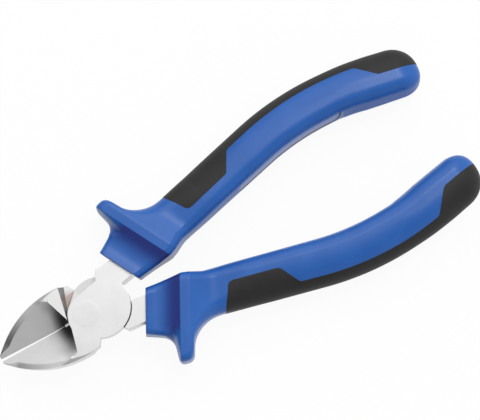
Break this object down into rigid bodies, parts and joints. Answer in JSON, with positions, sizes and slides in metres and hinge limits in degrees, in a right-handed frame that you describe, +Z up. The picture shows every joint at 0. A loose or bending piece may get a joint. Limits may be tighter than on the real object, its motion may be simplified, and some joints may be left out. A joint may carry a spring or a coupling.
{
  "type": "diagonal cutting pliers",
  "caption": "Diagonal cutting pliers with bevelled jaws, a flush riveted lap joint and moulded blue grips with finger guards and black soft overlays.",
  "frame": {"origin": "middle of the tool's length and width, on the surface that its guards' crests lie on", "axes": "+X from the jaws to the handle ends, +Y towards the front half's handle, +Z up along the rivet towards the front half's face"},
  "size_m": [0.1597, 0.0638, 0.0176],
  "materials": {
    "steel": "ground and polished",
    "rivet_steel": "ground flush",
    "core_blue": "gloss",
    "grip_blue": "satin",
    "overlay_black": "matt"
  },
  "bodies": {
    "front": {"front_half": "steel", "pivot_rivet": "rivet_steel", "front_grip_core": "core_blue", "front_grip_body": "grip_blue", "front_grip_overlay": "overlay_black"},
    "rear": {"rear_half": "steel", "rear_grip_core": "core_blue", "rear_grip_body": "grip_blue", "rear_grip_overlay": "overlay_black"}
  },
  "joints": [
    {"name": "pivot", "type": "hinge", "parent": "front", "child": "rear", "pos_m": [-0.04923, 0, 0.0088], "axis": [0, 0, -1], "range_deg": [-1.4, 52]}
  ]
}
